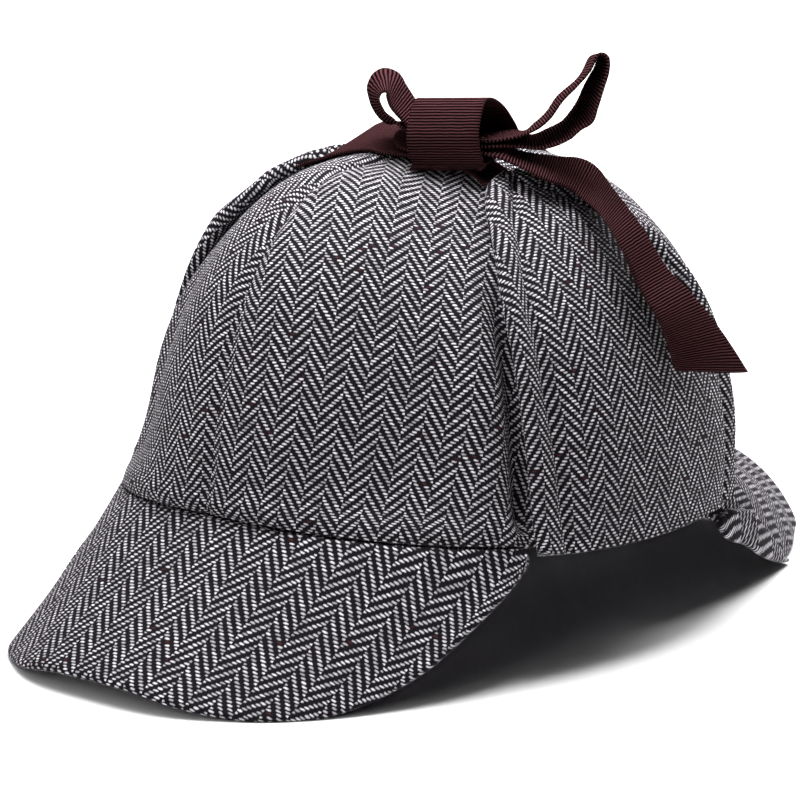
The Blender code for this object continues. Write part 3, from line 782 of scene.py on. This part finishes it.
def flatten_flap(points, place, warp):
    """Lays a flap's cloth over its outer face, and carries it on round both edges along the rows."""
    middle = FLAP_COLUMNS // 2
    reach = round(FLAP_FACE_SHARE * middle)
    face = flatten(points[:, middle - reach : middle + reach + 1], place, warp)
    flat = np.empty((*points.shape[:2], 2))
    flat[:, middle - reach : middle + reach + 1] = face
    for way in (-1, 1):
        edge = middle + way * reach
        onward = flat[:, edge] - flat[:, edge - way]
        onward /= np.linalg.norm(onward, axis=1, keepdims=True)
        beyond = points[:, edge : FLAP_COLUMNS + 1] if way > 0 else points[:, edge::-1]
        lengths = np.cumsum(np.linalg.norm(np.diff(beyond, axis=1), axis=2), axis=1)
        carried = flat[:, edge : edge + 1] + onward[:, None] * lengths[..., None]
        if way > 0:
            flat[:, edge + 1 :] = carried
        else:
            flat[:, :edge] = carried[:, ::-1]
    return flat


FLAP_WARP = Vector((0.32, -0.03, -0.95))
FLAP_CLOTH_STRETCH = (0.98, 1.07)
for flap_node, flap_side in (("ear_flap_left", 1), ("ear_flap_right", -1)):
    flap = new_grid(
        FLAP_COLUMNS, FLAP_ROWS, lambda around, up, side=flap_side: flap_point(side, around, up)
    )
    place = Vector((84 * flap_side, -2, 90))
    warp = Vector((FLAP_WARP.x * flap_side, FLAP_WARP.y, FLAP_WARP.z))
    lay_cloth(
        flap,
        flatten_flap(grid_points(flap, FLAP_COLUMNS), place, warp),
        stretch=FLAP_CLOTH_STRETCH,
    )
    close_tube(flap)
    piece = new_piece(flap_node + "_cloth", flap, herringbone, flap_node)


# ---------------------------------------------------------------------------------------------------
# Ribbon. A dark brown ribbed ribbon of viscose, sewn to the points of the ear flaps and tied over the crown
# in a bow with two loops and two tails. A band of the same ribbon goes round its middle.
# ---------------------------------------------------------------------------------------------------
# Ribbon sections: the middle of each, and the way that its width points, in degrees.
Section = namedtuple("Section", "x y z heading tilt")
LEAD_LEFT = (
    Section(45, -2, 138.2, 90, 0),
    Section(41, -2, 140.5, 90, 0),
    Section(37.5, -2, 142.3, 91, 0),
    Section(34.2, -2.2, 143.8, 94, 0),
    Section(31, -2.7, 145.8, 99, 1),
    Section(28, -3.2, 147.2, 103, 3),
    Section(24, -3.8, 147.9, 104, 5),
)
LEAD_RIGHT = (
    Section(-45.5, -2, 137.9, 90, 0),
    Section(-43, -2, 139.4, 90, 0),
    Section(-40, -2.1, 141, 90, 0),
    Section(-36, -2.3, 142.8, 91, 0),
    Section(-32.5, -2.6, 144.8, 94, 4),
    Section(-29, -2.9, 148, 96, 13),
    Section(-24, -3, 150.3, 97, 16),
    Section(-17, -3.5, 152, 98, 15),
    Section(-8, -4.4, 152.2, 98, 9),
    Section(2, -5.8, 151.2, 101, 7),
    Section(9.5, -6.8, 150.6, 103.7, 6),
    Section(14.1, -5.7, 150.9, 103.7, 6),
)
LOOP_LEFT = (
    Section(26.1, -2.8, 155, 103.7, 6),
    Section(30.5, -1.7, 155.3, 104, 5),
    Section(34.4, 1.2, 155.4, 112, 4),
    Section(36.7, 6.8, 155, 125, 3),
    Section(38.9, 12.2, 154.4, 135, 3),
    Section(44.6, 17.5, 157.6, 136, 3),
    Section(47.2, 19.9, 160.9, 137, 4),
    Section(49.4, 21.9, 163.9, 140, 7),
    Section(50.6, 22.9, 168, 140, 5),
    Section(51.8, 23.9, 172.2, 140, 0),
    Section(53.4, 25, 177.2, 139, -5),
    Section(53.6, 25.2, 181, 137, -7),
    Section(51.4, 23.8, 181.2, 136, -10),
    Section(49.4, 22.1, 176.2, 135, -9),
    Section(47.2, 20.1, 172.6, 132, -6),
    Section(43.6, 16.6, 167.8, 133, -5),
    Section(40.9, 14.2, 162.6, 133, -5),
    Section(38.2, 11.4, 159.2, 133, -5),
    Section(37, 6.3, 157.3, 125, -4),
    Section(34.3, 1.1, 157.1, 112, 3),
    Section(30.5, -1.7, 157, 104, 5),
    Section(26.1, -2.8, 156.8, 103.7, 6),
)
LOOP_RIGHT = (
    Section(14.1, -5.7, 154.2, 103.7, 6),
    Section(9, -6.6, 154.4, 108, 5),
    Section(5, -8, 156.7, 122, 0),
    Section(1.6, -10.7, 158.5, 132, -5),
    Section(-0.8, -12.9, 159.6, 135, -12),
    Section(-2.6, -14.5, 161.3, 136, -12),
    Section(-3.9, -15.7, 163.9, 138, -10),
    Section(-4.6, -16.4, 166.6, 139, -7),
    Section(-4.7, -16.4, 169.3, 141, -2),
    Section(-3.6, -15.5, 171.7, 139, 5),
    Section(-1.9, -13.9, 172.4, 134, 9),
    Section(-0.2, -12.4, 170.6, 124, 11),
    Section(1.2, -11.1, 167, 120, 9),
    Section(4, -9, 162.4, 117, 6),
    Section(8, -7, 157.8, 108, 6),
    Section(14.1, -5.7, 155.8, 103.7, 6),
)
TAIL_LEFT = (
    Section(26.1, -2.8, 153.3, 103.7, 6),
    Section(31, -1.8, 153.6, 105, 6),
    Section(35.8, -1.2, 153.1, 118, 8),
    Section(39.2, 0.6, 150.9, 127, 3),
    Section(45.4, 8.6, 147.3, 125, 7),
    Section(48.2, 18, 144.7, 121, 12),
    Section(52, 21.2, 141.6, 118, 12),
    Section(62.2, 18, 136.7, 119, 6),
    Section(73.6, 15.8, 127.7, 114, 3),
    Section(78.2, 20.3, 115.5, 110, 4),
    Section(85.1, 22.6, 107.1, 105, 8),
    Section(87.1, 29.1, 97.2, 94, 9),
    Section(88.4, 34, 88.8, 83, 8),
    Section(90.6, 37.6, 81.4, 76, 6),
)
# The slant of the left tail's cut end, and how near the end it starts.
TAIL_LEFT_SLANT = 0.07
SLANT_POWER = 6
TAIL_RIGHT = (
    Section(14.1, -5.7, 152.5, 103.7, 6),
    Section(9, -6.8, 152.3, 100, 6),
    Section(4.2, -4.6, 153.1, 82, 5),
    Section(0.8, 3.5, 154.9, 54, 2),
    Section(2, 14, 155.6, 27, 0),
    Section(-1.5, 26.5, 152, 16, 0),
    Section(-5, 39, 148.6, 11, 0),
    Section(-7.5, 51, 145.3, 9, -1),
    Section(-9.5, 62, 140.8, 8, -1),
    Section(-11, 72.3, 134.6, 7, -1),
    Section(-12.2, 81.6, 126, 7, -1),
    Section(-13.2, 88.5, 116.4, 7, -1),
    Section(-14, 93.6, 105.4, 7, -1),
)
# A ribbon is drawn in where the knot grips it.
RIBBON_WIDTH = 25.0
GATHERED_WIDTH = 17.0
GATHER_START = 14.5
GATHER_END = 24.0
RIBBON_WALL = 0.8
RIBBON_COLUMNS = 12
RIB_PITCH = 0.95
RIB_RELIEF = 0.6
RIB_SHARPNESS = 2.2
RIB_WANDER = 0.5
RIB_WANDER_SIZE = 4
# The ribbon's colour on a rib's painted lit crest, and the painted shade in the grooves between ribs.
RIBBON_LIT = "#4c2f32"
RIBBON_GROOVE_SHADE = "#060304"

KNOT_CENTRE = Vector((21.9, -3.8, 157.6))
KNOT_AXIS_HEADING = 13.7
KNOT_AXIS_RISE = 0.075
KNOT_GRID_ROWS = 120
BandRow = namedtuple("BandRow", "depth height")
KNOT_BAND = (
    BandRow(-10.6, -9.2),
    BandRow(-13.0, -4.9),
    BandRow(-14.4, 0.2),
    BandRow(-13.2, 5.4),
    BandRow(-10.8, 9.6),
    BandRow(-7.9, 11.2),
    BandRow(-2.7, 10.1),
    BandRow(2.8, 7.3),
    BandRow(7.5, 3.7),
    BandRow(12.2, -0.8),
    BandRow(13.9, -3.4),
    BandRow(12.6, -5.8),
    BandRow(7.5, -6.8),
    BandRow(2, -7.3),
    BandRow(-3.5, -8),
    BandRow(-8, -9),
    BandRow(-12.4, -10.2),
)


def new_grosgrain(name):
    """A ribbed ribbon laid on the UV map, in millimetres, with its length along V. Its ribs are bumped,
    painted lit on their crests and painted in shade in their grooves.
    """
    material, tree, shader = new_material(name)
    flat = add_node(tree, "ShaderNodeUVMap", uv_map="cloth")[0]
    _, length, _ = add_node(tree, "ShaderNodeSeparateXYZ", {0: flat})
    drift = add_node(
        tree, "ShaderNodeTexNoise", {"Vector": flat, "Scale": 1 / RIB_WANDER_SIZE, "Detail": 2.0}
    )[0]
    length = add_node(
        tree, "ShaderNodeMath", {0: drift, 1: RIB_WANDER, 2: length}, operation="MULTIPLY_ADD"
    )[0]
    rib = add_node(tree, "ShaderNodeMath", {0: length, 1: math.pi / RIB_PITCH}, operation="MULTIPLY")[0]
    rib = add_node(tree, "ShaderNodeMath", {0: rib}, operation="SINE")[0]
    rib = add_node(tree, "ShaderNodeMath", {0: rib}, operation="ABSOLUTE")[0]
    lit = add_node(tree, "ShaderNodeMath", {0: rib, 1: RIB_SHARPNESS}, operation="POWER")[0]
    shade = add_node(
        tree,
        "ShaderNodeMix",
        {"Factor": lit, "A": colour(RIBBON_GROOVE_SHADE), "B": colour(RIBBON_LIT)},
        data_type="RGBA",
    )[2]
    bump = add_node(tree, "ShaderNodeBump", {"Height": rib, "Distance": RIB_RELIEF * MM})[0]
    tree.links.new(shade, shader.inputs["Base Color"])
    tree.links.new(bump, shader.inputs["Normal"])
    shader.inputs["Roughness"].default_value = 0.8
    shader.inputs["Specular IOR Level"].default_value = 0
    return material


def knot_axis():
    """The way through the knot's band, from the wearer's right to their left."""
    heading = math.radians(KNOT_AXIS_HEADING)
    return Vector((math.cos(heading), math.sin(heading), KNOT_AXIS_RISE)).normalized()


def ribbon_point(sections, slant, across, along):
    """A ribbon through its sections, whose last end is cut at a slant."""
    place = along - slant * (1 - across) * along**SLANT_POWER
    row = smooth_row(sections, place)
    heading, tilt = math.radians(row.heading), math.radians(row.tilt)
    width_way = Vector(
        (
            math.cos(heading) * math.cos(tilt),
            math.sin(heading) * math.cos(tilt),
            math.sin(tilt),
        )
    )
    middle = Vector((row.x, row.y, row.z))
    from_knot = abs((middle - KNOT_CENTRE).dot(knot_axis()))
    share = (from_knot - GATHER_START) / (GATHER_END - GATHER_START)
    width = between(GATHERED_WIDTH, RIBBON_WIDTH, min(max(share, 0), 1))
    return middle + width_way * width * (across - 0.5)


def knot_point(across, around):
    """A point of the knot's band, which closes on itself round the knot's axis."""
    heading = math.radians(KNOT_AXIS_HEADING)
    back = Vector((-math.sin(heading), math.cos(heading), 0))
    rows = KNOT_BAND[-1:] + KNOT_BAND + KNOT_BAND[:2]
    row = smooth_row(rows, (1 + around * len(KNOT_BAND)) / (len(rows) - 1))
    width = RIBBON_WIDTH * (across - 0.5)
    return KNOT_CENTRE + knot_axis() * width + back * row.depth + Vector((0, 0, row.height))


def flatten_ribbon(points):
    """Lays a ribbon out straight: its width along U and the length of its middle line along V."""
    middle = points[:, RIBBON_COLUMNS // 2]
    lengths = np.pad(np.cumsum(np.linalg.norm(np.diff(middle, axis=0), axis=1)), (1, 0))
    widths = np.linspace(-RIBBON_WIDTH / 2, RIBBON_WIDTH / 2, RIBBON_COLUMNS + 1)
    return np.stack(np.meshgrid(widths, lengths), axis=2)


grosgrain = new_grosgrain("viscose_grosgrain")
for ribbon_node, sections, slant, rows, held, rests_on in (
    ("ribbon_lead_left", LEAD_LEFT, 0, 60, "stretched", "crown_front_left_cloth"),
    ("ribbon_lead_right", LEAD_RIGHT, 0, 120, "stretched", "crown_front_right_cloth"),
    ("ribbon_loop_left", LOOP_LEFT, 0, 260, "folded", "ribbon_lead_left_ribbed"),
    ("ribbon_loop_right", LOOP_RIGHT, 0, 220, "folded", "ribbon_lead_right_ribbed"),
    ("ribbon_tail_left", TAIL_LEFT, TAIL_LEFT_SLANT, 260, "draped", "ear_flap_left_cloth"),
    ("ribbon_tail_right", TAIL_RIGHT, 0, 220, "draped", "crown_rear_right_cloth"),
):
    ribbon = new_grid(
        RIBBON_COLUMNS,
        rows,
        lambda across, along, sections=sections, slant=slant: ribbon_point(
            sections, slant, across, along
        ),
    )
    flat = flatten_ribbon(grid_points(ribbon, RIBBON_COLUMNS))
    lay_cloth(ribbon, flat)
    piece = new_piece(ribbon_node + "_ribbed", ribbon, grosgrain, ribbon_node)
    add_wall(piece, RIBBON_WALL, offset=0)

knot = new_grid(RIBBON_COLUMNS, KNOT_GRID_ROWS, knot_point)
flat = flatten_ribbon(grid_points(knot, RIBBON_COLUMNS))
lay_cloth(knot, flat)
bmesh.ops.remove_doubles(knot, verts=knot.verts, dist=WELD_DISTANCE)
piece = new_piece("ribbon_knot_ribbed", knot, grosgrain, "ribbon_knot")
add_wall(piece, RIBBON_WALL, offset=0)


# ---------------------------------------------------------------------------------------------------
# Floor and light. A white table under round soft lamps: the strongest are straight above the hat and
# high behind it, with weaker ones in front. A soft sun and a square lamp keep the rest of the table white.
# ---------------------------------------------------------------------------------------------------
FLOOR_SIZE = 60
FLOOR_WHITE = "#f4f4f4"
LIT_PLACE = Vector((0, 0, 0.08))
# Each light's turn round the hat from its front towards the wearer's left, and its height, in degrees.
Lamp = namedtuple("Lamp", "name turn height distance size watts")
LAMPS = (
    Lamp("overhead", 0, 89, 0.3, 0.3, 2.0),
    Lamp("front", 0, 45, 0.36, 0.3, 0.3),
    Lamp("low_front", 12, 18, 0.75, 0.45, 1.2),
    Lamp("rear", 180, 42, 0.75, 0.45, 4.4),
)
SUN_STRENGTH = 1.4
SUN_ANGLE = math.radians(25)
WORLD_COLOUR = "#fff0fa"
WORLD_STRENGTH = 0.01
# The lamp over the table behind the hat shines straight down, and its light hardly spreads.
BACKDROP_SIZE = 1.7
BACKDROP_WATTS = 16
BACKDROP_SPREAD = math.radians(80)
BACKDROP_PLACE = Vector((-0.72, 0.8, 0.6))

floor_grid = bmesh.new()
bmesh.ops.create_grid(floor_grid, x_segments=1, y_segments=1, size=FLOOR_SIZE / 2)
floor_mesh = bpy.data.meshes.new("floor")
floor_grid.to_mesh(floor_mesh)
floor_grid.free()
floor = bpy.data.objects.new("floor", floor_mesh)
bpy.context.scene.collection.objects.link(floor)
floor_paint, _, floor_shader = new_material("matt_white_table")
floor_shader.inputs["Base Color"].default_value = colour(FLOOR_WHITE)
floor_shader.inputs["Roughness"].default_value = 0.9
floor_shader.inputs["Specular IOR Level"].default_value = 0.1
floor_mesh.materials.append(floor_paint)

for name, turn, height, distance, size, watts in LAMPS:
    turn, height = math.radians(turn), math.radians(height)
    way = Vector(
        (
            math.sin(turn) * math.cos(height),
            -math.cos(turn) * math.cos(height),
            math.sin(height),
        )
    )
    lamp = bpy.data.objects.new(name, bpy.data.lights.new(name, "AREA"))
    lamp.data.shape = "DISK"
    lamp.data.size = size
    lamp.data.energy = watts
    lamp.location = LIT_PLACE + way * distance
    lamp.rotation_euler = way.to_track_quat("Z", "Y").to_euler()
    bpy.context.scene.collection.objects.link(lamp)

sun = bpy.data.objects.new("sun", bpy.data.lights.new("sun", "SUN"))
sun.data.energy = SUN_STRENGTH
sun.data.angle = SUN_ANGLE
bpy.context.scene.collection.objects.link(sun)

backdrop = bpy.data.objects.new("backdrop", bpy.data.lights.new("backdrop", "AREA"))
backdrop.data.size = BACKDROP_SIZE
backdrop.data.energy = BACKDROP_WATTS
backdrop.data.spread = BACKDROP_SPREAD
backdrop.location = BACKDROP_PLACE
backdrop.rotation_euler = (0, 0, CAMERA_AZIMUTH)
bpy.context.scene.collection.objects.link(backdrop)

world = bpy.data.worlds.new("studio")
world.use_nodes = True
world.node_tree.nodes["Background"].inputs["Color"].default_value = colour(WORLD_COLOUR)
world.node_tree.nodes["Background"].inputs["Strength"].default_value = WORLD_STRENGTH
bpy.context.scene.world = world
bpy.context.scene.view_settings.view_transform = "Standard"
